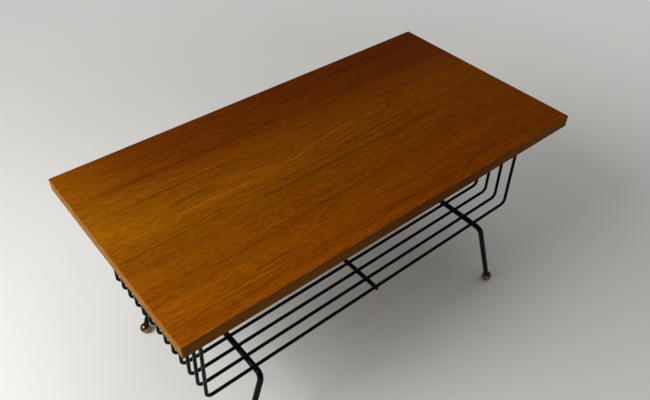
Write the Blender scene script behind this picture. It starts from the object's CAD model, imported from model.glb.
# %% [markdown]
# A coffee table: a flat veneered top on a rack of black wire, two bent-rod leg
# frames and four brass ball feet. The packed model already holds every piece at
# its real size. This script gives the pieces their finish. It also replaces the
# plain rods, balls and edges with smoother ones, which show their welds and wear.

# %% Load the packed model
import math
import bpy
import numpy as np
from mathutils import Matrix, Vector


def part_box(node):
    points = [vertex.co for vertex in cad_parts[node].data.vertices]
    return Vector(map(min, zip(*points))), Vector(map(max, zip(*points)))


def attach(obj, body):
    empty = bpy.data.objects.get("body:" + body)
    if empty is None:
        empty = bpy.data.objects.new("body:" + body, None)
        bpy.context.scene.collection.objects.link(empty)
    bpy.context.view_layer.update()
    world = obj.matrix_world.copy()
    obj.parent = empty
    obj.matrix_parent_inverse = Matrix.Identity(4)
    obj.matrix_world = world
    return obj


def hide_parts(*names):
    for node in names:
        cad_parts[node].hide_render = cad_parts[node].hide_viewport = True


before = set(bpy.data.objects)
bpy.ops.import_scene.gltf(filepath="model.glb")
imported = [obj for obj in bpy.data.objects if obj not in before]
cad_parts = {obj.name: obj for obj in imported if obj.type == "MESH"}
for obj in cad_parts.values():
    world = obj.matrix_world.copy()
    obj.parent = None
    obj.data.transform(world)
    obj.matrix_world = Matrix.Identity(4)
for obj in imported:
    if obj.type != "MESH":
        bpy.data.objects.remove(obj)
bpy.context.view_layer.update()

print("pieces in the model:", len(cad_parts))

# %% [markdown]
# Sizes first. Whatever a piece's box can tell is read from the model, so that the
# new pieces sit where the old ones did. The rest is written here in metres: wire
# diameters and bend radii are sizes that a maker would have on the drawing.

# %% Sizes of the table
MM = 0.001
RODS = 13
ROD_R = 3.5 * MM
CENTRE_ROD_R = 4.75 * MM
LEG_R = 6 * MM
BALL_R = 12 * MM
ROD_BEND_R = 12 * MM
LEG_BEND_R = 15 * MM
LEG_PAST_CENTRE = 2 * MM
UPRIGHT_LEAN = 8.5 * MM
VENEER_T = 0.7 * MM
LIPPING_T = 6 * MM
ARRIS_R = 1 * MM
CORNER_R = 1.5 * MM

strip_low, strip_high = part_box("fixing_strip_right")
first_rod_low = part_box("rack_rod_01")[0]
last_rod_low, last_rod_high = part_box("rack_rod_13")
bar_low, bar_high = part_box("leg_frame_right")
ball_low, ball_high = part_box("ball_foot_front_right")

HALF_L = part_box("lipping_right")[1].x
HALF_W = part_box("lipping_back")[1].y
TABLE_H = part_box("top_veneer")[1].z
BOARD_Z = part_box("under_veneer")[0].z
STRIP_Z = strip_low.z
STRIP_X = (strip_low.x + strip_high.x) / 2
ROD_Z = first_rod_low.z + ROD_R
RACK_HALF_W = (last_rod_low.y + last_rod_high.y) / 2
ROD_PITCH = 2 * RACK_HALF_W / (RODS - 1)
BAR_Z = bar_high.z - LEG_R
BAR_X = bar_low.x + LEG_R
FOOT_X = (ball_low.x + ball_high.x) / 2
FOOT_Y = -(ball_low.y + ball_high.y) / 2
print("half length", round(HALF_L, 4), "half width", round(HALF_W, 4), "height", round(TABLE_H, 4))
print("rods", RODS, "at", round(ROD_PITCH / MM, 2), "mm, axis height", round(ROD_Z, 4))

# %% [markdown]
# A finish is a small tree of shader nodes. Long trees are hard to read when each node
# takes five lines, so this class gives short words for the common ones: arithmetic,
# noise, a soft step and a mix of two colours. Patterns start from the Object
# coordinates, since those are metres and stay with the piece when it is moved.

# %% Short words for shader nodes
class Finish:
    """A material or a world, its three coordinates, and short ways to add nodes to it."""

    def __init__(self, name, kind="materials", shader="Principled BSDF", place="Object"):
        self.material = getattr(bpy.data, kind).new(name)
        self.material.use_nodes = True
        self.tree = self.material.node_tree
        self.shader = self.tree.nodes[shader]
        point = self.tree.nodes.new("ShaderNodeTexCoord").outputs[place]
        self.x, self.y, self.z = self.add("ShaderNodeSeparateXYZ", {"Vector": point}).outputs

    def put(self, value, socket):
        """Links a socket to another one, or writes a plain value on it."""
        if isinstance(value, bpy.types.NodeSocket):
            self.tree.links.new(value, socket)
        else:
            socket.default_value = (*value, 1.0) if isinstance(value, tuple) else value

    def add(self, kind, inputs, **settings):
        made = self.tree.nodes.new(kind)
        for key, value in settings.items():
            setattr(made, key, value)
        for key, value in inputs.items():
            self.put(value, made.inputs[key])
        return made

    def sum(self, operation, a, b=0.0, c=0.0):
        return self.add("ShaderNodeMath", {0: a, 1: b, 2: c}, operation=operation).outputs[0]

    def scaled(self, a, factor):
        return self.sum("MULTIPLY", a, factor)

    def times_plus(self, a, factor, plus):
        """a * factor + plus. Each of the three is a socket or a number."""
        return self.sum("MULTIPLY_ADD", a, factor, plus)

    def centred(self, a, factor):
        """(a - 0.5) * factor: turns noise into something that adds and takes away."""
        return self.times_plus(a, factor, -0.5 * factor)

    def noise(self, x, y, z, detail=3.0, roughness=0.5):
        """Smooth noise, about 0 to 1, at the point (x, y, z)."""
        where = self.add("ShaderNodeCombineXYZ", {"X": x, "Y": y, "Z": z}).outputs[0]
        made = self.add("ShaderNodeTexNoise", {"Vector": where, "Scale": 1.0, "Detail": detail,
                                               "Roughness": roughness})
        return made.outputs["Fac"]

    def waves(self, along_x, along_y, along_z, detail=3.0, roughness=0.5):
        """Noise with so many waves to a metre along x, y and z."""
        return self.noise(self.scaled(self.x, along_x), self.scaled(self.y, along_y),
                          self.scaled(self.z, along_z), detail, roughness)

    def even_noise(self, scale, detail=3.0, roughness=0.5):
        return self.waves(scale, scale, scale, detail, roughness)

    def steps(self, value, low, high):
        """0 below low, 1 above high, smooth between. High may be the lower one."""
        made = self.add("ShaderNodeMapRange", {"Value": value, "From Min": low, "From Max": high},
                        interpolation_type="SMOOTHSTEP")
        return made.outputs["Result"]

    def mix(self, share, a, b, blend="MIX"):
        made = self.add("ShaderNodeMix", {0: share, 6: a, 7: b}, data_type="RGBA", blend_type=blend)
        return made.outputs[2]

    def set(self, **sockets):
        """Sets or links the shader's own sockets, named with underscores."""
        for key, value in sockets.items():
            self.put(value, self.shader.inputs[key.replace("_", " ")])

    def bump(self, height, distance, strength):
        made = self.add("ShaderNodeBump", {"Height": height, "Distance": distance, "Strength": strength})
        self.set(Normal=made.outputs[0])


print("short words:", [word for word in vars(Finish) if not word.startswith("_")])

# %% [markdown]
# Wear shows first on edges and corners, where hands and cloths rub. How near a point
# is to the edge of the top follows from its own place, so no picture of the edges
# is needed: it is the larger of the two distances from the middle, less the half
# sizes. The smaller of the two finds the corners. Noise breaks the worn line up.

# %% Worn edges and corners
WEAR_WIDTH = 2.2 * MM
WORN_PATCH = (0.42, 0.66)


def worn_line(f, width, larger, patch_scale):
    """1 in worn spots near the edges (larger) or the corners (not larger), else 0."""
    ax = f.sum("SUBTRACT", f.sum("ABSOLUTE", f.x), HALF_L - width)
    ay = f.sum("SUBTRACT", f.sum("ABSOLUTE", f.y), HALF_W - width)
    near = f.steps(f.sum("MAXIMUM" if larger else "MINIMUM", ax, ay), 0.0, width)
    return f.scaled(near, f.steps(f.even_noise(patch_scale, 4.0), *WORN_PATCH))


print("wear reaches", WEAR_WIDTH, "m in from an edge")

# %% [markdown]
# Teak veneer is sliced from one log, so its figure runs along the board: growth lines,
# a light band here, a dark flame there, a pin knot. Noise alone gives wood, but not
# this board. So the lines that catch the eye on the real top are drawn, each as a few
# points, and noise does the rest. A picture of the wood would have been quicker, but
# it would bring its own light and blur along.

# %% Where this board's own lines lie
# Points (x, y) in millimetres, half the line's width, how dark (below zero: light)
GRAIN_LINES = (
    (((-450, 127), (-317, 128), (-97, 126), (20, 130)), 2.6, 0.50),
    (((0, 107), (110, 106), (225, 106)), 2.5, 0.40),
    (((-440, 88), (-300, 90), (-90, 80)), 2.5, -0.30),
    (((-420, 78), (-300, 74), (-185, 72), (-130, 61), (-90, 58), (-37, 69), (20, 76), (110, 79)), 3.0, 0.50),
    (((-330, 29), (-280, 33), (-225, 36)), 4.5, 0.80),
    (((-318, 39), (-292, 38), (-262, 40)), 2.2, 0.70),
    (((-278, 26), (-245, 28), (-205, 27)), 2.4, 0.75),
    (((-225, 56), (-195, 50), (-165, 44)), 2.0, 0.50),
    (((-185, 37), (-117, 21), (-70, 13), (-43, 23), (17, 31), (103, 37), (183, 31)), 2.0, 0.55),
    (((-185, 29), (-117, 13), (-70, 6), (-38, 16), (17, 24), (103, 31), (190, 22)), 4.0, -0.40),
    (((-450, -1), (-300, 1), (-80, 4)), 12.0, -0.28),
    (((-450, -21), (-200, -22), (60, -21), (255, -18)), 1.6, -0.55),
    (((-450, -37), (-400, -37), (-310, -35)), 1.8, 0.55),
    (((-330, -29), (-100, -29), (60, -28), (255, -25)), 2.2, 0.35),
    (((-200, -46), (-60, -47), (60, -45)), 4.0, 0.45),
    (((-200, -52), (20, -52), (255, -48)), 15.0, 0.20),
    (((-195, -71), (-120, -72), (-40, -71)), 1.8, 0.50),
    (((180, -43), (215, -43), (245, -42)), 2.0, 0.65),
    (((-340, -129), (-280, -129), (-225, -128)), 1.8, 0.50),
    (((-235, -127), (-90, -122), (57, -117), (190, -113), (330, -112)), 1.7, 0.60),
    (((-295, -176), (-240, -177), (-200, -176)), 2.0, 0.65),
    (((-430, -188), (-330, -191), (-240, -190)), 4.5, -0.35),
    (((-50, -206), (30, -205), (105, -204)), 2.5, 0.35),
    (((5, 169), (35, 169), (65, 169)), 3.5, 0.45),
    (((120, 62), (260, 66), (430, 60)), 2.5, 0.30),
)
# The knot: its middle, then half its length and half its width
KNOT = (189, 28, 3.0, 6.5)
print("drawn lines:", len(GRAIN_LINES))

# %% [markdown]
# A Float Curve node is a function that is drawn by hand: it turns one number into
# another. Given how far along the board a point is, it returns where the drawn line
# lies across the board at that place. The rest is the distance from that line.

# %% How strongly a point lies on one drawn line
# Share of the half width at full strength, and share of the length that each end fades
LINE_CORE = 0.25
END_FADE = 0.18


def grain_line(f, points, half_width, wobble):
    """1 on the line, 0 from half_width away, and a slow fade over its two ends."""
    along = f.times_plus(f.x, 0.5 / HALF_L, 0.5)
    curve = f.add("ShaderNodeFloatCurve", {"Value": along})
    track = curve.mapping.curves[0].points
    spots = [((x * MM + HALF_L) / (2 * HALF_L), (y * MM + HALF_W) / (2 * HALF_W)) for x, y in points]
    for spot in spots[1:-1]:
        track.new(*spot)
    track[0].location = spots[0]
    track[len(track) - 1].location = spots[-1]
    curve.mapping.update()
    line_y = f.times_plus(curve.outputs[0], 2 * HALF_W, -HALF_W)
    apart = f.sum("ABSOLUTE", f.sum("SUBTRACT", f.sum("ADD", f.y, wobble), line_y))
    near = f.steps(apart, half_width * MM, LINE_CORE * half_width * MM)
    start, end = spots[0][0], spots[-1][0]
    fade = END_FADE * (end - start)
    inside = f.scaled(f.steps(along, start, start + fade), f.steps(along, end, end - fade))
    return f.scaled(near, inside)


print("longest line:", max(p[-1][0] - p[0][0] for p, _, _ in GRAIN_LINES), "mm")

# %% [markdown]
# On this board the growth lines dip towards the front in one place, as they do where
# the saw passes near a knot. All patterns below are drawn over a bent copy of y, so
# streaks, bands and pores make the same dip together.

# %% The bent grain coordinate
DIP_AT = (-0.085, 0.035)
DIP_SIZE = (0.100, 0.065)
DIP_DEPTH = 0.022
WANDER = 0.022


def offset_squared(f, at, size):
    """((x - ax) / sx)^2 + ((y - ay) / sy)^2: 1 on an ellipse round the point at."""
    dx = f.times_plus(f.x, 1 / size[0], -at[0] / size[0])
    dy = f.times_plus(f.y, 1 / size[1], -at[1] / size[1])
    return f.sum("ADD", f.scaled(dx, dx), f.scaled(dy, dy))


def bell(f, at, size):
    """exp(-offset squared): 1 at the point, and dying away with the distance from it."""
    return f.sum("EXPONENT", f.scaled(offset_squared(f, at, size), -1.0))


def bent_grain(f, figured):
    """y + DIP_DEPTH * bell + a slow wander of half WANDER either way."""
    wander = f.centred(f.noise(f.scaled(f.x, 2.6), f.scaled(f.y, 9.0), 0.0), WANDER)
    if not figured:
        return f.sum("ADD", f.y, wander)
    return f.sum("ADD", f.times_plus(bell(f, DIP_AT, DIP_SIZE), DIP_DEPTH, f.y), wander)


print("the dip is", DIP_DEPTH / MM, "mm deep at", DIP_AT)

# %% [markdown]
# Sliced wood shows streaks of every size. One noise can't do that without looking like
# smoke. Four are added here, each stretched along the board by its own amount: broad
# stripes, growth lines, streaks and hairs. Pores, the short dark scratches that make
# teak look open, are the peaks of a fifth one.

# %% Streaks and pores
# Waves per metre along x and across the grain, height in the noise, detail, roughness
STREAKS = {
    "broad": (1.0, 42.0, 1.3, 2.0, 0.55),
    "medium": (3.0, 190.0, 5.1, 2.0, 0.6),
    "fine": (16.0, 480.0, 9.7, 3.0, 0.7),
    "hair": (56.0, 800.0, 12.3, 3.0, 0.7),
    "pores": (95.0, 1350.0, 31.0, 1.0, 0.5),
}
STREAK_WEIGHTS = {"broad": 0.75, "medium": 0.85, "fine": 1.45, "hair": 2.5}
PORE_PEAKS = (0.58, 0.68)
PORE_WEIGHT = 0.55


def streak_set(f, grain):
    """The five noises by name. Only the peaks of the last one are kept."""
    parts = {}
    for part, (along, across, *rest) in STREAKS.items():
        parts[part] = f.noise(f.scaled(f.x, along), f.scaled(grain, across), *rest)
    parts["pores"] = f.steps(parts["pores"], *PORE_PEAKS)
    return parts


print("streak weights:", STREAK_WEIGHTS)

# %% [markdown]
# The colour comes in two steps. First a ramp lays wide bands across the board, golden
# or redder, and light from a window has bleached its left end, most in the far
# corner. Then one number, the level, says how light or dark each point is against
# its band. The level mixes between a darker and a lighter copy of the band's colour.
# A soft step would flatten the small streaks there, so the mix is a straight line.

# %% Bands of colour, and the marks on them
BAND_BREAK = 0.16
BLEACH = 0.88
FADED = (1.24, 1.42, 1.15)
FRESH = (0.76, 0.69, 0.50)
SUNNY = (1.45, 1.85, 1.30)
SUNNY_CORNER = (-0.45, 0.20)
SUNNY_SIZE = (0.10, 0.13)


def band_colour(f, grain, medium, bands, figured):
    """Ramp over the share of the width from the front, its joints broken up by noise.
    Bleached = BLEACH * leftness squared, where leftness is 1 at the left end and 0 at
    the right. It mixes the fresh tint with the faded one, and the sunny corner comes on
    top as a bell. A tint multiplies the red, green and blue."""
    share = f.times_plus(grain, 0.5 / HALF_W, 0.5)
    ramp = f.add("ShaderNodeValToRGB", {"Fac": f.sum("ADD", share, f.centred(medium, BAND_BREAK))})
    stops = ramp.color_ramp.elements
    while len(stops) < len(bands):
        stops.new(0.5)
    for stop, (where, colour) in zip(stops, bands):
        stop.position = where
        stop.color = (*colour, 1.0)
    ramp.color_ramp.interpolation = "EASE"
    colour = ramp.outputs["Color"]
    if not figured:
        return colour
    faded = f.mix(1.0, colour, FADED, "MULTIPLY")
    fresh = f.mix(1.0, colour, FRESH, "MULTIPLY")
    leftness = f.times_plus(f.x, -0.5 / HALF_L, 0.5)
    bleached = f.scaled(f.scaled(leftness, leftness), BLEACH)
    corner = bell(f, SUNNY_CORNER, SUNNY_SIZE)
    return f.mix(corner, f.mix(bleached, fresh, faded), SUNNY, "MULTIPLY")


LINE_WOBBLE = 4 * MM
KNOT_STRENGTH = 0.8


def grain_level(f, parts, figured):
    """Mostly -1 (dark) to 1 (light): the weighted streaks, less pores, lines and knot."""
    level = f.scaled(parts["pores"], -PORE_WEIGHT)
    for part, weight in STREAK_WEIGHTS.items():
        level = f.sum("ADD", level, f.centred(parts[part], weight))
    if not figured:
        return level
    wobble = f.centred(f.noise(f.scaled(f.x, 30.0), f.y, 3.0), LINE_WOBBLE)
    broken = f.times_plus(f.steps(parts["fine"], 0.30, 0.58), 0.6, 0.4)
    for points, half_width, strength in GRAIN_LINES:
        mark = f.scaled(grain_line(f, points, half_width, wobble), broken)
        level = f.times_plus(mark, -strength, level)
    knot_x, knot_y, knot_l, knot_w = [v * MM for v in KNOT]
    knot = f.steps(offset_squared(f, (knot_x, knot_y), (knot_l, knot_w)), 1.6, 0.2)
    return f.times_plus(knot, -KNOT_STRENGTH, level)


print("streaks add", sum(STREAK_WEIGHTS.values()) / 2, "to the level at most")

# %% [markdown]
# The veneer puts these together. Oil leaves only a very faint sheen, so the shader's
# specular level is close to nothing. The pores are real pits, but too fine to model:
# they are left to a bump.

# %% Teak veneer
DARK_COPY = (0.33, 0.24, 0.15)
LIGHT_COPY = (1.67, 1.76, 1.85)
WORN_TEAK = (0.42, 0.19, 0.05)
PORE_DEPTH = 0.06 * MM


def teak_veneer(name, bands, figured):
    """Veneer with its grain along x. bands are (share of the width, colour) pairs;
    figured adds the dip, the drawn lines and the knot of this one top."""
    f = Finish(name)
    grain = bent_grain(f, figured)
    parts = streak_set(f, grain)
    colour = band_colour(f, grain, parts["medium"], bands, figured)
    dark = f.mix(1.0, colour, DARK_COPY, "MULTIPLY")
    light = f.mix(1.0, colour, LIGHT_COPY, "MULTIPLY")
    level = grain_level(f, parts, figured)
    colour = f.mix(f.times_plus(level, 0.5, 0.5), dark, light)
    worn = worn_line(f, WEAR_WIDTH, True, 60.0)
    colour = f.mix(f.scaled(worn, 0.35), colour, WORN_TEAK)
    f.set(Base_Color=colour, Roughness=f.times_plus(parts["medium"], 0.16, 0.30),
          Specular_IOR_Level=0.01, Specular_Tint=(1.0, 0.60, 0.20))
    f.bump(f.sum("SUBTRACT", f.scaled(parts["fine"], 0.5), parts["pores"]), PORE_DEPTH, 0.6)
    return f.material


# Where each band lies, as a share of the width from the front, and its colour
FACE_BANDS = (
    (0.00, (0.180, 0.0420, 0.0010)),
    (0.28, (0.175, 0.0440, 0.0010)),
    (0.42, (0.165, 0.0450, 0.0010)),
    (0.52, (0.190, 0.0530, 0.0012)),
    (0.68, (0.148, 0.0375, 0.0010)),
    (0.82, (0.121, 0.0255, 0.0008)),
    (1.00, (0.108, 0.0205, 0.0006)),
)
UNDER_BANDS = ((0.00, (0.200, 0.100, 0.040)), (1.00, (0.230, 0.115, 0.045)))
finish = {
    "face_veneer": teak_veneer("face_veneer", FACE_BANDS, True),
    "under_veneer": teak_veneer("under_veneer", UNDER_BANDS, False),
}
print("nodes in the face veneer:", len(finish["face_veneer"].node_tree.nodes))

# %% [markdown]
# The lippings are strips of solid teak that hide the core. Their grain runs along the
# strip. The short ones at the ends are lighter, with faint slanting bars, as where a
# plane went over cross grain. The long ones have a darker stretch right of the middle.
# The two kinds differ in numbers only, so one function makes both: the dark stretch
# has died away where it reaches the ends.

# %% Solid lippings
STRETCH_AT = (0.09, 0.0)
STRETCH_SIZE = (0.19, 10.0)
STRETCH_DARK = 0.42
GLUE_REACH = 0.22 * MM
GLUE_CORE = 0.05 * MM


def teak_lipping(name, dark, light, along, banding):
    """Wood of one lipping, with its grain along the axis named along. banding is how
    strongly bars cross it: noise over (run + 1.3 * height), so that they slant. The
    dark stretch is a bell, so long across the table that only x counts."""
    f = Finish(name)
    run, face = (f.x, f.y) if along == "x" else (f.y, f.x)
    streak = f.noise(f.scaled(run, 6.0), f.scaled(f.z, 420.0), f.scaled(face, 420.0), 4.0, 0.6)
    fine = f.noise(f.scaled(run, 40.0), f.scaled(f.z, 1500.0), f.scaled(face, 1500.0), 2.0)
    slant = f.times_plus(f.z, 1.3, run)
    bars = f.noise(f.scaled(slant, 75.0), f.scaled(f.z, 8.0), 4.0, 4.0, 0.6)
    tone = f.sum("ADD", f.centred(streak, 0.9), f.centred(fine, 0.55))
    tone = f.sum("ADD", tone, f.centred(bars, banding))
    tone = f.times_plus(bell(f, STRETCH_AT, STRETCH_SIZE), -STRETCH_DARK, tone)
    colour = f.mix(f.sum("ADD", tone, 0.5), dark, light)
    from_joint = f.sum("ABSOLUTE", f.sum("SUBTRACT", f.z, TABLE_H - VENEER_T))
    glue = f.steps(from_joint, GLUE_REACH, GLUE_CORE)
    colour = f.mix(f.scaled(glue, 0.6), colour, tuple(0.3 * v for v in dark))
    worn = worn_line(f, 4 * WEAR_WIDTH, False, 300.0)
    colour = f.mix(f.scaled(worn, 0.3), colour, tuple(1.3 * v for v in light))
    f.set(Base_Color=colour, Roughness=f.times_plus(streak, 0.14, 0.56),
          Specular_IOR_Level=0.04, Specular_Tint=(1.0, 0.72, 0.42))
    f.bump(f.sum("ADD", streak, fine), 0.05 * MM, 0.5)
    return f.material


LIPPINGS = {
    "front_lipping": ((0.100, 0.030, 0.0012), (0.262, 0.094, 0.005), "x", 0.10),
    "end_lipping": ((0.150, 0.058, 0.008), (0.345, 0.150, 0.024), "y", 0.75),
}
for name, values in LIPPINGS.items():
    finish[name] = teak_lipping(name, *values)
print("lipping finishes:", len(LIPPINGS))

# %% [markdown]
# Stoving enamel is black paint baked on to the steel. It is never plain black: it has
# a faint orange peel, dull patches where dust lies, and small chips that show the
# grey primer. Its shine is what tells the eye that a wire is round, so it is kept
# narrow and clear, and the colour under it very dark.

# %% Black enamel
CLEAN_BLACK = (0.0016, 0.0016, 0.0017)
DUSTY_BLACK = (0.0038, 0.0037, 0.0035)
PRIMER = (0.050, 0.040, 0.034)


def black_enamel():
    """Peel at 620 waves to the metre, dusty patches at 45, chips where two noises peak."""
    f = Finish("black_enamel")
    peel = f.even_noise(620.0, 2.0)
    patch = f.even_noise(45.0, 4.0)
    spots = f.steps(f.even_noise(240.0), 0.70, 0.74)
    chipped = f.scaled(spots, f.steps(patch, 0.52, 0.60))
    colour = f.mix(f.steps(patch, 0.35, 0.75), CLEAN_BLACK, DUSTY_BLACK)
    colour = f.mix(chipped, colour, PRIMER)
    rough = f.times_plus(chipped, 0.3, f.times_plus(patch, 0.12, 0.05))
    f.set(Base_Color=colour, Roughness=rough, Specular_IOR_Level=0.07)
    f.bump(f.sum("SUBTRACT", peel, f.scaled(chipped, 1.5)), 0.05 * MM, 0.25)
    return f.material


finish["black_enamel"] = black_enamel()
print("nodes in the enamel:", len(finish["black_enamel"].node_tree.nodes))

# %% [markdown]
# The ball feet are brass that has dulled. Brass goes brown where air and damp reach it
# and stays golden where it is rubbed. Here the brown lies in patches, and low down where
# the floor's dirt sits. Round the leg's hole, where no cloth gets to, it is nearly
# black. The rings of the lathe are a noise that is very fine along z only.

# %% Aged brass
RUBBED_BRASS = (0.50, 0.310, 0.10)
BROWN_BRASS = (0.12, 0.062, 0.015)
BLACKENED_BRASS = (0.040, 0.026, 0.014)
DIRT_HEIGHTS = (7.5 * MM, 0.5 * MM)
BLACK_HEIGHTS = (12.5 * MM, 19 * MM)


def aged_brass():
    """Three brasses: rubbed, brown in patches and low down, nearly black near the leg."""
    f = Finish("ball_brass")
    patina = f.even_noise(130.0, 5.0, 0.6)
    turned = f.waves(40.0, 40.0, 2600.0, 2.0)
    low = f.steps(f.z, *DIRT_HEIGHTS)
    high = f.steps(f.z, *BLACK_HEIGHTS)
    brown = f.sum("MAXIMUM", f.steps(patina, 0.42, 0.62), f.scaled(low, 0.7))
    colour = f.mix(brown, RUBBED_BRASS, BROWN_BRASS)
    colour = f.mix(f.scaled(high, 0.85), colour, BLACKENED_BRASS)
    rough = f.times_plus(brown, 0.20, f.times_plus(turned, 0.08, 0.17))
    f.set(Base_Color=colour, Metallic=1.0, Roughness=rough)
    f.bump(f.sum("ADD", turned, patina), 0.04 * MM, 0.4)
    return f.material


finish["ball_brass"] = aged_brass()
print("nodes in the brass:", len(finish["ball_brass"].node_tree.nodes))

# %% [markdown]
# The wood screws under the top are zinc-plated steel. Nobody sees them unless the
# table lies on its side, so a metal with a fine cut texture is enough.

# %% Screw steel
def screw_steel():
    """Bright metal whose colour and roughness follow one fine noise."""
    f = Finish("screw_steel")
    cut = f.waves(1600.0, 1600.0, 300.0)
    colour = f.mix(cut, (0.42, 0.41, 0.38), (0.62, 0.60, 0.55))
    f.set(Base_Color=colour, Metallic=1.0, Roughness=f.times_plus(cut, 0.2, 0.3))
    f.bump(cut, 0.03 * MM, 0.4)
    return f.material


finish["screw_steel"] = screw_steel()
print("finishes:", sorted(finish))

# %% [markdown]
# Flat pieces with drilled holes are already right in the packed model: the core, the
# veneer underneath, the fixing strips and their screws. Modelling them again would
# gain nothing, so they keep their mesh and only get a finish.

# %% Dress the pieces that stay
KEPT = {"under_veneer": "under_veneer", "core_board": "under_veneer"}
for side in ("left", "right"):
    KEPT["fixing_strip_" + side] = "black_enamel"
    KEPT["strip_screws_" + side] = "screw_steel"
for node, used in KEPT.items():
    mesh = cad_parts[node].data
    mesh.materials.clear()
    mesh.materials.append(finish[used])
print("pieces that stay:", len(KEPT))

# %% [markdown]
# Every new piece is a grid of points worked out with numpy: rings, one after another,
# where each ring's last point joins its first. Modifiers could bend and round things
# too, but a formula says exactly where each point is, and it stays inside the
# piece it replaces. One helper makes the faces of such a grid, another the object.

# %% Grid and mesh helpers
def ring_angles(sides):
    return np.linspace(0, 2 * math.pi, sides, endpoint=False)


def grid_faces(rings, sides):
    """Quads between rings: each joins a point to the next one in its ring, and both
    to their neighbours in the next ring. They face along (way round) x (way on)."""
    r = np.arange(rings - 1)[:, None]
    c = np.arange(sides)[None, :]
    here = r * sides + c
    beside = r * sides + (c + 1) % sides
    return np.stack([here, beside, beside + sides, here + sides], axis=-1).reshape(-1, 4)


def closed_faces(rings, sides, flip=False):
    """The same, with one flat face over each end. flip turns all of them over."""
    faces = grid_faces(rings, sides).tolist()
    faces.append(list(range(sides))[::-1])
    faces.append([(rings - 1) * sides + i for i in range(sides)])
    return [face[::-1] for face in faces] if flip else faces


SHARP_DEG = 38.0


def put_mesh(name, points, faces, material):
    """Makes an object from points and faces: smooth, but sharp over SHARP_DEG."""
    mesh = bpy.data.meshes.new(name)
    mesh.from_pydata(points, [], faces)
    mesh.validate()
    mesh.update()
    mesh.polygons.foreach_set("use_smooth", np.ones(len(mesh.polygons), bool))
    mesh.set_sharp_from_angle(angle=math.radians(SHARP_DEG))
    mesh.materials.append(material)
    piece = bpy.data.objects.new(name, mesh)
    bpy.context.scene.collection.objects.link(piece)
    return piece


def put_piece(name, points, faces, slot, used=None, replaces=None, at=(0, 0, 0)):
    """A piece of the table, moved by at. It rides on the one body and may replace a
    plain piece. Its finish is the slot's own, unless another one is used."""
    piece = put_mesh(name, points + np.array(at), faces, finish[used or slot])
    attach(piece, "root")
    if replaces:
        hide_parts(replaces)
    return piece


print("a tube of 3 rings of 4 has", len(closed_faces(3, 4)), "faces")

# %% [markdown]
# The edge of the top is a thin bright line in any light, so it deserves true rounding.
# It could be a bevel modifier on a box. But the box is made of five pieces with one
# common outer form, and their joints must meet. So all of them are swept: a profile is
# carried round the top, side by side, from one mitred corner to the next.

# %% Carry a profile along one side of the top
CORNER_TURN = np.radians(np.linspace(45, 90, 6))[:, None]
STATION_STEP = 2 * MM
LAST_STATION = 0.3 * MM
DENT_REACH = 2.6 * MM
DENT_FADE = 1.6 * MM


def sweep_side(half_run, half_out, inward, height, dents):
    """Grid of points, stations by profile points, as distances along and outward. A
    profile point lies inward from the outer face. At a corner it turns on a circle of
    radius CORNER_R - inward, and deeper points turn on the mitre. A dent pushes in
    the upper edge: depth * exp(-((along - place) / width)^2)."""
    turn_r = np.clip(CORNER_R - inward, 0, None)[None, :]
    end = half_run - np.maximum(inward, CORNER_R)[None, :]
    side = half_out - np.maximum(inward, CORNER_R)[None, :]
    share = np.linspace(-1, 1, int(2 * half_run / STATION_STEP) + 1)[1:-1]
    close = 1 - LAST_STATION / half_run
    share = np.concatenate([[-close], share, [close]])[:, None]
    corner = -end - turn_r * np.cos(CORNER_TURN)
    along = np.concatenate([corner, share * end, -corner[::-1]])
    round_corner = side + turn_r * np.sin(CORNER_TURN)
    outward = np.concatenate([round_corner, side + turn_r + 0 * share, round_corner[::-1]])
    upper = np.clip((height - (TABLE_H - DENT_REACH)) / DENT_FADE, 0, 1)[None, :]
    for place, width, depth in dents:
        outward = outward - upper * depth * np.exp(-((along - place) / width) ** 2)
    return along, outward


def to_side(along, outward, height, quarter):
    """Turns a side's points into place: 0 front, 1 right, 2 back, 3 left."""
    x, y = along, -outward
    for _ in range(quarter):
        x, y = -y, x
    return np.stack([x, y, height + 0 * x], axis=-1)


print("stations along the front:", int(2 * HALF_L / STATION_STEP) + 1)

# %% [markdown]
# A table of this age has been bumped. A few shallow dents along each upper edge say
# so, the deepest a sixth of a millimetre. They are placed by a seeded random
# generator, so they are the same in every run, and kept clear of the mitres.

# %% Where the dents are
# Name, half the side's length, and how far out it lies
SIDES = (
    ("front", HALF_L, HALF_W),
    ("right", HALF_W, HALF_L),
    ("back", HALF_L, HALF_W),
    ("left", HALF_W, HALF_L),
)
DENT_EVERY = 0.070
MITRE_CLEAR = 0.012
DENT_SEED = 30


def side_dents(quarter, half_run):
    """Place, width and depth of each dent. The power 1.3 makes the shallow ones more."""
    rng = np.random.default_rng(DENT_SEED + quarter)
    count = int(2 * half_run / DENT_EVERY)
    places = rng.uniform(-half_run + MITRE_CLEAR, half_run - MITRE_CLEAR, count)
    widths = rng.uniform(1.2, 4.5, count) * MM
    depths = rng.uniform(0.04, 0.25, count) ** 1.3 * MM
    return list(zip(places, widths, depths))


dents = [side_dents(i, side[1]) for i, side in enumerate(SIDES)]


def round_the_top(inward, height):
    """Each side's name, and the grid of its profile's points, from front to left."""
    for quarter, (side, half_run, half_out) in enumerate(SIDES):
        along, outward = sweep_side(half_run, half_out, inward, height, dents[quarter])
        yield side, to_side(along, outward, height, quarter)


print("dents:", [len(d) for d in dents])

# %% [markdown]
# A lipping is a 6 mm strip with an arris, the maker's word for an eased edge, top and
# bottom. The outer form is rounded over 1 mm, and the veneers take the outermost
# 0.7 mm of it, so the lipping shows only the last part of each round. Close rows of
# points beside each round keep the flat face from picking up its shading.

# %% Lippings
joint_angle = math.asin(1 - VENEER_T / ARRIS_R)
BESIDE_ROUND = 0.25 * MM
BELOW_DENTS = 3 * MM


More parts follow.
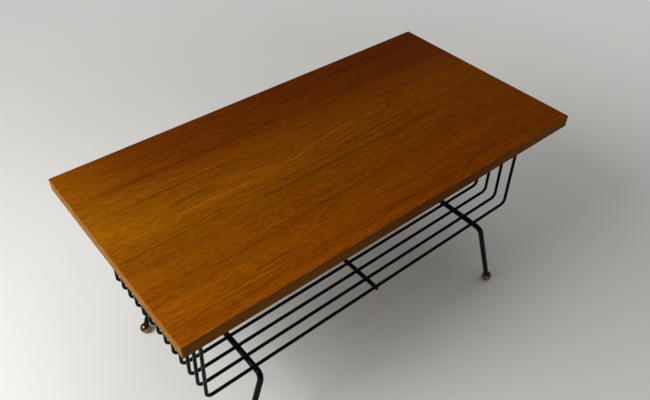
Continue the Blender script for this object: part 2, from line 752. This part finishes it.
def arris(angles, height):
    """Inward distance and height of points on the rounding of one edge. Angle 0 is where
    it meets the upright face, a quarter turn where it meets the flat one."""
    return ARRIS_R * (1 - np.cos(angles)), height + ARRIS_R * np.sin(angles)


def lipping_profile():
    """The strip's section: down the outer face from the upper joint, then the inside."""
    a = np.linspace(joint_angle, 0, 4)
    upper_in, upper_z = arris(a, TABLE_H - ARRIS_R)
    lower_in, lower_z = arris(-a[::-1], BOARD_Z + ARRIS_R)
    face_z = np.array([upper_z[-1] - BESIDE_ROUND, TABLE_H - BELOW_DENTS, lower_z[0] + BESIDE_ROUND])
    inward = np.concatenate([upper_in, 0 * face_z, lower_in, [LIPPING_T, LIPPING_T]])
    height = np.concatenate([upper_z, face_z, lower_z, [BOARD_Z + VENEER_T, TABLE_H - VENEER_T]])
    return inward, height


inward, height = lipping_profile()
for side, grid in round_the_top(inward, height):
    used = "front_lipping" if side in ("front", "back") else "end_lipping"
    put_piece("teak_lipping_" + side, grid.reshape(-1, 3), closed_faces(*grid.shape[:2]), "lipping",
              used, replaces="lipping_" + side)
print("lippings: 4, each", len(inward), "points round its section")

# %% [markdown]
# The face veneer is one sheet, 0.7 mm thick, that covers the core and all four
# lippings. Its profile is an open line: from the joint, over the round, and a little
# way in on the flat. Carried round all four sides it makes closed rings, and two large
# flat faces close the sheet above and below.

# %% Face veneer
FLAT_ROW = 8 * MM

inward, height = arris(np.linspace(joint_angle, math.pi / 2, 9), TABLE_H - ARRIS_R)
inward = np.concatenate([inward, [ARRIS_R + BESIDE_ROUND, FLAT_ROW]])
height = np.concatenate([height, [TABLE_H, TABLE_H]])
around = np.concatenate([grid[1:] for _, grid in round_the_top(inward, height)]).transpose(1, 0, 2)
put_piece("teak_face_veneer", around.reshape(-1, 3), closed_faces(*around.shape[:2]), "face_veneer",
          replaces="top_veneer")
print("face veneer:", around.shape[0], "rings of", around.shape[1], "points")

# %% [markdown]
# All the wire on this table is bent in one plane: flat in the middle, bent at both
# ends. So one path serves every rod. It is worked out in the rod's own plane, as
# the distance along the flat and the height above it, with the direction in which
# the rod is heading at each point.

# %% The path of a bent rod
def bent_path(half_flat, bend_r, turn, end_length, flat_rings=41, bend_rings=15, end_rings=17):
    """Points and headings of half a bent rod, from its middle out. Flat: u runs from 0 to
    half_flat. Bend: u = half_flat + bend_r sin a, v = bend_r (1 - cos a), for a up to the
    angle turn. End: a straight run at that angle. The half is mirrored for the whole."""
    u = np.linspace(0, half_flat, flat_rings)
    flat = np.stack([u, 0 * u], axis=1)
    a = np.linspace(0, turn, bend_rings)[1:]
    bend = np.stack([half_flat + bend_r * np.sin(a), bend_r * (1 - np.cos(a))], axis=1)
    s = np.linspace(0, end_length, end_rings)[1:, None]
    end = bend[-1] + s * np.array([math.cos(turn), math.sin(turn)])
    half = np.concatenate([flat, bend, end])
    heading = np.concatenate([0 * u, a, np.full(len(end), turn)])
    whole = np.concatenate([half[:0:-1] * [-1, 1], half])
    return whole, np.concatenate([-heading[:0:-1], heading])


print("rings in a bent rod:", len(bent_path(0.3, ROD_BEND_R, 1.6, 0.2)[0]))

# %% [markdown]
# A tube is a circle carried along that path. A curve object with a bevel depth would
# do it in one line, but here each ring can be changed. Paint never lies quite even, so
# the radius thins and swells by a few hundredths of a millimetre. That is too little
# to see, yet the shine along the wire comes alive. Cut ends are rounded over.

# %% Carry a circle along the path
PAINT_SWELL = 0.035 * MM
END_ROUNDING = 0.6 * MM


def tube(path, heading, radius, along, up, sides=20, seed=0, round_ends=True):
    """Closed tube along a path in the plane of two axes, along and up. Ring point =
    path point + radius * (cos t * plane normal + sin t * local up), where local up is
    the heading turned a quarter turn. Two smaller rings round each end over."""
    along, up = np.array(along, float), np.array(up, float)
    normal = np.cross(along, up)
    run = np.concatenate([[0], np.cumsum(np.linalg.norm(np.diff(path, axis=0), axis=1))])
    waves = np.random.default_rng(seed).uniform(0, 2 * math.pi, 3)
    swell = sum(np.sin(run / (w * MM) + p) for w, p in zip((31, 13, 71), waves)) / 3
    ring_r = radius + PAINT_SWELL * (swell - 1)
    centre = path[:, :1] * along + path[:, 1:] * up
    local_up = -np.sin(heading)[:, None] * along + np.cos(heading)[:, None] * up
    forward = np.cos(heading)[:, None] * along + np.sin(heading)[:, None] * up
    if round_ends:
        back = np.array([0.0, 0.3, 1.0]) * END_ROUNDING
        inset = np.array([1.0, 0.3, 0.0]) * END_ROUNDING
        first = centre[:1] + back[:, None] * forward[:1]
        last = centre[-1:] - back[::-1, None] * forward[-1:]
        centre = np.concatenate([first, centre[2:-2], last])
        ends = np.concatenate([[0, 0, 0], np.arange(2, len(path) - 2), [-1, -1, -1]])
        local_up = local_up[ends]
        ring_r = ring_r[ends]
        ring_r[:3] -= inset
        ring_r[-3:] -= inset[::-1]
    t = ring_angles(sides)
    circle = np.cos(t)[None, :, None] * normal + np.sin(t)[None, :, None] * local_up[:, None, :]
    points = centre[:, None, :] + ring_r[:, None, None] * circle
    return points.reshape(-1, 3), closed_faces(len(centre), sides, flip=True)


print("paint swells the wire by up to", PAINT_SWELL / MM, "mm")

# %% [markdown]
# The rack: thirteen rods, each the same bent wire at its own place across the table.
# Where the flat run ends and the uprights begin follows from the bend, which takes up
# its radius times the tangent of half its turn on either side of the corner.

# %% Rack rods
rack_half_l = STRIP_X + UPRIGHT_LEAN
upright_h = STRIP_Z - ROD_Z
rod_turn = math.pi / 2 + math.atan2(UPRIGHT_LEAN, upright_h)
rod_reach = ROD_BEND_R * math.tan(rod_turn / 2)
upright_run = math.hypot(UPRIGHT_LEAN, upright_h) - rod_reach
rod_path, rod_heading = bent_path(rack_half_l - rod_reach, ROD_BEND_R, rod_turn, upright_run)
rod_ys = -RACK_HALF_W + ROD_PITCH * np.arange(RODS)

for i, rod_y in enumerate(rod_ys):
    node = f"rack_rod_{i + 1:02d}"
    points, faces = tube(rod_path, rod_heading, ROD_R, (1, 0, 0), (0, 0, 1), seed=i)
    put_piece("wire_" + node, points, faces, "black_enamel", replaces=node, at=(0, rod_y, ROD_Z))
print("rack rods:", RODS, "upright run", round(upright_run, 4), "m each")

# %% [markdown]
# One thicker rod crosses under the rack at half its length. It is a straight length,
# cut off about level with the outer rods, so it needs no bent path: only a straight
# one, with many rings so that the paint has something to swell.

# %% Centre cross rod
centre_low, centre_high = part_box("centre_cross_rod")
centre_half = centre_high.y
centre_z = (centre_low.z + centre_high.z) / 2
run = np.linspace(-centre_half, centre_half, 61)
straight = np.stack([run, 0 * run], axis=1)
points, faces = tube(straight, 0 * run, CENTRE_ROD_R, (0, 1, 0), (0, 0, 1), sides=24, seed=40)
put_piece("wire_centre_cross_rod", points, faces, "black_enamel",
          replaces="centre_cross_rod", at=(0, 0, centre_z))
print("centre rod reaches", round(centre_half, 4), "m either way")

# %% [markdown]
# A leg frame is the same kind of path in a tilted plane. Its flat run is the cross
# bar. Down in its plane the legs splay a little, so the bend turns slightly less
# than a right angle, and the plane itself leans out along the table.

# %% Leg frames
lean_out = FOOT_X - BAR_X
leg_drop = math.hypot(lean_out, BAR_Z - BALL_R)
down = np.array([lean_out, 0, -(BAR_Z - BALL_R)]) / leg_drop
BEND_PAST_ROD = 3.5 * MM
ENDS = (("left", -1), ("right", 1))


def leg_path():
    """Bent path of a leg frame. The straight bar ends just past the outer rod. The turn
    and the splay depend on each other, so they are worked out in a few rounds."""
    bend_start = RACK_HALF_W + BEND_PAST_ROD
    splay = 0.0
    for _ in range(8):
        turn = math.pi / 2 - math.atan2(splay, leg_drop)
        reach = LEG_BEND_R * math.tan(turn / 2)
        splay = FOOT_Y - bend_start - reach
    run = math.hypot(splay, leg_drop) - reach + LEG_PAST_CENTRE
    path, heading = bent_path(bend_start, LEG_BEND_R, turn, run, flat_rings=31, bend_rings=21, end_rings=25)
    return path, heading, turn


leg_line, leg_heading, leg_turn = leg_path()
for side, sign in ENDS:
    points, faces = tube(leg_line, leg_heading, LEG_R, (0, sign, 0), down * [sign, 1, 1],
                         sides=28, seed=50 + sign, round_ends=False)
    put_piece("bent_leg_frame_" + side, points, faces, "black_enamel",
              replaces="leg_frame_" + side, at=(sign * BAR_X, 0, BAR_Z))
print("leg turn", round(math.degrees(leg_turn), 2), "degrees, drop", round(leg_drop, 4), "m")

# %% [markdown]
# The ball feet are turned brass, drilled on the slant for the leg. A turned form is
# a profile spun round an axis. Here the axis is the leg's own, so the rim of the
# hole comes out square to the leg. The profile starts down in the hole, comes up over
# a small eased lip, and runs round the ball to its far pole. There all points would
# fall on one another, so a fan of triangles closes it.

# %% Ball feet
HOLE_CLEARANCE = 0.05 * MM
LIP_WIDTH = 0.35 * MM
LIP_DROP = 0.12 * MM
HOLE_DEPTH = 4 * MM


def ball_points(centre, axis, sides=48, rings=34):
    """A drilled ball: radius = R sin a, height = R cos a, for the angle a from the rim of
    the hole to the far pole, spun round the axis, with the wall of the hole before."""
    hole_r = LEG_R + HOLE_CLEARANCE
    rim = math.asin((hole_r + LIP_WIDTH) / BALL_R)
    a = np.concatenate([[rim], np.linspace(rim, math.pi, rings)[:-1]])
    radius = BALL_R * np.sin(a)
    height = BALL_R * np.cos(a)
    radius[0] = hole_r
    height[0] -= LIP_DROP
    profile = np.concatenate([[[hole_r, height[0] - HOLE_DEPTH]], np.stack([radius, height], axis=1)])
    side_axis = np.cross(axis, [0.0, 1.0, 0.0])
    side_axis /= np.linalg.norm(side_axis)
    other_axis = np.cross(axis, side_axis)
    t = ring_angles(sides)
    spin = np.cos(t)[:, None] * side_axis + np.sin(t)[:, None] * other_axis
    spun = profile[:, :1, None] * spin[None] + profile[:, 1:, None] * axis
    points = np.concatenate([spun.reshape(-1, 3), [-BALL_R * axis]]) + centre
    faces = [face[::-1] for face in grid_faces(len(profile), sides).tolist()]
    last, pole = (len(profile) - 1) * sides, len(points) - 1
    faces += [[last + (i + 1) % sides, last + i, pole] for i in range(sides)]
    faces.append(list(range(sides)))
    return points, faces


end_direction = leg_line[-1] - leg_line[-2]
end_direction /= np.linalg.norm(end_direction)
for side, sx in ENDS:
    for row, sy in (("front", -1), ("back", 1)):
        node = f"ball_foot_{row}_{side}"
        leg_way = end_direction[0] * np.array([0, sy, 0]) + end_direction[1] * down * [sx, 1, 1]
        points, faces = ball_points(np.array([sx * FOOT_X, sy * FOOT_Y, BALL_R]), -leg_way)
        put_piece("brass_" + node, points, faces, "ball_brass", replaces=node)
print("ball feet: 4, radius", BALL_R, "m, faces each", len(faces))

# %% [markdown]
# Two round rods that cross touch in one point only, so the welder runs a little metal
# into the wedges round it. A squashed ball would do from afar, but it would float off
# one of the two. Here each weld is a wall of rings instead: its lowest ring lies on
# the lower rod, its highest on the upper one, and between them it draws in to a waist.

# %% Saddle of metal between two crossing rods
PAST_CONTACT = 0.12
WAIST = 0.30


def uneven_ring(seed, t, low, high, high_waves):
    """1 + low * sin(2 t) + high * sin(high_waves t), each wave at a random turn."""
    first, second = np.random.default_rng(seed).uniform(0, 2 * math.pi, 2)
    return 1 + low * np.sin(2 * t + first) + high * np.sin(high_waves * t + second)


def fan_closed(x, y, z, pole_heights):
    """Points and faces of a wall of rings, lowest first. At each end a fan of triangles
    runs to a pole on the axis. The two poles are the last points: lower, then upper."""
    rings, sides = z.shape
    points = np.stack([x, y, z], axis=-1).reshape(-1, 3)
    last, lower = len(points) - sides, len(points)
    faces = grid_faces(rings, sides).tolist()
    faces += [[(i + 1) % sides, i, lower] for i in range(sides)]
    faces += [[last + i, last + (i + 1) % sides, lower + 1] for i in range(sides)]
    return np.concatenate([points, [[0, 0, h] for h in pole_heights]]), faces


def saddle_weld(lower_r, upper_r, reach_x, reach_y, seed, sides=16, rings=7):
    """Closed fillet where a rod along x lies on a rod along y. For the share s of the
    height: x = reach_x * waist * cos t, y = reach_y * waist * sin t, z from the lower
    rod's surface at x (s = 0) to the upper rod's at y (s = 1), and waist = 1 - WAIST
    sin(pi s). s runs PAST_CONTACT further at both ends, so the weld is rooted in both
    rods. Two low waves round the ring keep it hand made."""
    t = ring_angles(sides)[None, :]
    s = np.linspace(-PAST_CONTACT, 1 + PAST_CONTACT, rings)[:, None]
    waist = 1 - WAIST * np.sin(math.pi * np.clip(s, 0, 1))
    waist = waist * uneven_ring(seed, t, 0.07, 0.05, 3)
    x = reach_x * waist * np.cos(t)
    y = reach_y * waist * np.sin(t)
    low = np.sqrt(np.clip(lower_r**2 - x**2, 0, None)) - lower_r
    high = upper_r - np.sqrt(np.clip(upper_r**2 - y**2, 0, None))
    return fan_closed(x, y, low + s * (high - low), (-0.6 * lower_r, 0.6 * upper_r))


BAR_WELD = (4.7 * MM, 3.1 * MM)
print("faces in one weld:", len(saddle_weld(LEG_R, ROD_R, *BAR_WELD, 1)[1]))

# %% [markdown]
# Under the top each upright is welded to the flat fixing strip. There the metal makes
# a collar: wide against the strip, and drawn down the rod in a hollow curve.

# %% Collar where an upright meets its strip
def collar_weld(rod_r, reach, drop, seed, sides=16, rings=6):
    """Closed fillet round a rod under a flat plate. For the angle a from 0 to a quarter
    turn: width = rod_r + (reach - rod_r) (1 - cos a), depth = drop (1 - sin a)."""
    t = ring_angles(sides)[None, :]
    a = np.linspace(0, math.pi / 2, rings)[:, None]
    uneven = uneven_ring(seed, t, 0.10, 0.06, 5)
    width = rod_r - 0.15 * MM + (reach - rod_r) * (1 - np.cos(a)) * uneven
    z = -drop * (1 - np.sin(a)) * uneven + 0.1 * MM * np.sin(a)
    return fan_closed(width * np.cos(t), width * np.sin(t), z, (-0.5 * drop, 0.2 * MM))


COLLAR = (5.8 * MM, 2.6 * MM)
print("faces in one collar:", len(collar_weld(ROD_R, *COLLAR, 1)[1]))

# %% [markdown]
# There are sixty-five of these welds. As single objects they would crowd the scene, so
# each row is joined into one piece. Every weld has its own seed, as no two beads from
# one hand are alike.

# %% Rows of welds
def weld_row(name, welds):
    """Joins many small closed meshes, each with its own place, into one piece."""
    points, faces, count = [], [], 0
    for place, (weld_points, weld_faces) in welds:
        points.append(weld_points + place)
        faces += [[i + count for i in face] for face in weld_faces]
        count += len(weld_points)
    put_piece(name, np.concatenate(points), faces, "black_enamel")
    print(name, "has", len(welds), "welds and", len(faces), "faces")


contact_z = ROD_Z - ROD_R
for side, sign in ENDS:
    weld_row("welds_on_bar_" + side,
             [((sign * BAR_X, y, contact_z), saddle_weld(LEG_R, ROD_R, *BAR_WELD, 100 * sign + 200 + i))
              for i, y in enumerate(rod_ys)])
    weld_row("welds_on_strip_" + side,
             [((sign * STRIP_X, y, STRIP_Z), collar_weld(ROD_R, *COLLAR, 100 * sign + 500 + i))
              for i, y in enumerate(rod_ys)])

# %% [markdown]
# The centre rod is cut off just past the outer rods, so the welds there have less
# room: they sit a little further in and are narrower.

# %% Welds on the centre rod
END_INSET = 1.3 * MM
CENTRE_REACH = 4.0 * MM

inset = np.zeros(RODS)
inset[[0, -1]] = END_INSET, -END_INSET
reach_y = np.full(RODS, 3.0 * MM)
reach_y[[0, -1]] = 2.1 * MM
weld_row("welds_on_centre_rod",
         [((0.0, y + inset[i], contact_z),
           saddle_weld(CENTRE_ROD_R, ROD_R, CENTRE_REACH, reach_y[i], 800 + i))
          for i, y in enumerate(rod_ys)])

# %% [markdown]
# The stage is one plain pale floor, so wide that its far edge is lost. It isn't part
# of the table. Near the table it is only a matt surface, so the shadow is a real
# one. Far away it is also seen a little brighter than it is lit, up to the colour
# of the pale horizon. That glow is for the eye, and for what shiny metal mirrors: it
# lights nothing. From below the floor is clear, so the underside can be looked at.

# %% Floor
FLOOR_R = 60.0
PALE = (0.93, 0.925, 0.915)
# Each glow: from how far away, to how far, and how strong
NEAR_GLOW = (0.6, 2.2, 0.26)
FAR_GLOW = (2.0, 6.0, 0.54)


def seen_directly(f):
    """1 for the camera, a mirror image or a view through glass, 0 for light that falls
    on something. The second value is 1 for the camera only."""
    path = f.add("ShaderNodeLightPath", {})
    seen = f.sum("MAXIMUM", path.outputs["Is Camera Ray"], path.outputs["Is Glossy Ray"])
    return f.sum("MAXIMUM", seen, path.outputs["Is Transmission Ray"]), path.outputs["Is Camera Ray"]


def stage_material():
    """Matt pale grey with a faint mottle. Glow = seen directly * a share that grows with
    the distance from the table. Alpha = 0 for a camera under the floor."""
    f = Finish("pale_floor")
    mottle = f.noise(f.scaled(f.x, 3.0), f.scaled(f.y, 3.0), 0.0)
    colour = f.mix(mottle, (0.72, 0.73, 0.73), (0.76, 0.77, 0.765))
    seen, by_camera = seen_directly(f)
    away = f.sum("SQRT", f.sum("ADD", f.scaled(f.x, f.x), f.scaled(f.y, f.y)))
    glow = f.scaled(f.steps(away, *FAR_GLOW[:2]), FAR_GLOW[2])
    glow = f.times_plus(f.steps(away, *NEAR_GLOW[:2]), NEAR_GLOW[2], glow)
    under = f.scaled(f.add("ShaderNodeNewGeometry", {}).outputs["Backfacing"], by_camera)
    f.set(Base_Color=colour, Roughness=0.7, Specular_IOR_Level=0.2, Emission_Color=PALE,
          Emission_Strength=f.scaled(seen, glow), Alpha=f.sum("SUBTRACT", 1.0, under))
    return f.material


t = ring_angles(64)
rim = np.stack([FLOOR_R * np.cos(t), FLOOR_R * np.sin(t), 0 * t], axis=1)
floor = put_mesh("floor", rim, [list(range(64))], stage_material())
print("floor radius", FLOOR_R, "m")

# %% [markdown]
# The camera stands where the photograph was taken from. Its place and turn come from
# fitting the table's corners, rods and feet to their places in the 650 by 400
# picture. The same fit gives the lens: so many pixels, which Blender's 36 mm sensor,
# as wide as the picture, turns into millimetres.

# %% Camera
CAMERA_AT = (-0.63827, -0.74977, 1.21828)
CAMERA_TURN_DEG = (48.0522, -0.8936, -39.5521)
LENS_MM = 35.774

camera_data = bpy.data.cameras.new("camera")
camera_data.sensor_width = 36.0
camera_data.sensor_fit = "HORIZONTAL"
camera_data.lens = LENS_MM
camera_data.clip_start = 0.05
camera = bpy.data.objects.new("camera", camera_data)
camera.location = CAMERA_AT
camera.rotation_euler = [math.radians(a) for a in CAMERA_TURN_DEG]
bpy.context.scene.collection.objects.link(camera)
bpy.context.scene.camera = camera
print("camera", round(math.dist(CAMERA_AT, (0, 0, TABLE_H)), 3), "m from the middle of the top")

# %% [markdown]
# Two soft lamps light the table. One stands like a window to the left and a little
# behind, so that the left end is bright, the front edge dark, and the shadow falls
# to the right. The other is a weak one overhead, so that no side is black. Both are
# large: a small lamp would give hard shadows that the photograph doesn't have.

# %% Lamps
def area_lamp(name, place, target, size, watts, colour):
    """A square soft lamp at a place, facing a target point."""
    data = bpy.data.lights.new(name, "AREA")
    data.shape = "SQUARE"
    data.size = size
    data.energy = watts
    data.color = colour
    lamp = bpy.data.objects.new(name, data)
    way = np.array(target, float) - np.array(place, float)
    flat = math.hypot(way[0], way[1])
    lamp.location = place
    lamp.rotation_euler = (math.atan2(flat, -way[2]), 0, math.atan2(way[1], way[0]) - math.pi / 2)
    bpy.context.scene.collection.objects.link(lamp)
    print(name, "at", place, "size", size, "m,", watts, "W")


area_lamp("window_side", (-1.55, 0.28, 1.48), (0.0, 0.0, 0.4), 1.2, 40.0, (1.0, 0.98, 0.95))
area_lamp("overhead", (0.3, -0.3, 2.9), (0.1, 0.0, 0.3), 2.4, 20.0, (1.0, 0.97, 0.93))

# %% [markdown]
# The world lights the table evenly and dimly from all round. The band near the horizon
# is seen pale, to meet the floor, while the light it gives stays the same. The short
# words serve its nodes too: here x, y and z are a direction, and z is how far up.

# %% World
WORLD_LIGHT = 0.18
HORIZON = 0.963
HORIZON_BAND = (0.34, 0.12)

f = Finish("plain_world", "worlds", "Background", "Generated")
seen = seen_directly(f)[0]
band = f.scaled(f.steps(f.z, *HORIZON_BAND), seen)
f.set(Color=f.mix(band, (1.0, 0.975, 0.94), PALE),
      Strength=f.times_plus(band, HORIZON - WORLD_LIGHT, WORLD_LIGHT))
bpy.context.scene.world = f.material
bpy.context.scene.view_settings.view_transform = "Standard"
print("world light", WORLD_LIGHT, "and a pale band of", HORIZON, "for what is seen")

# %% [markdown] Last, both boxes are written down.
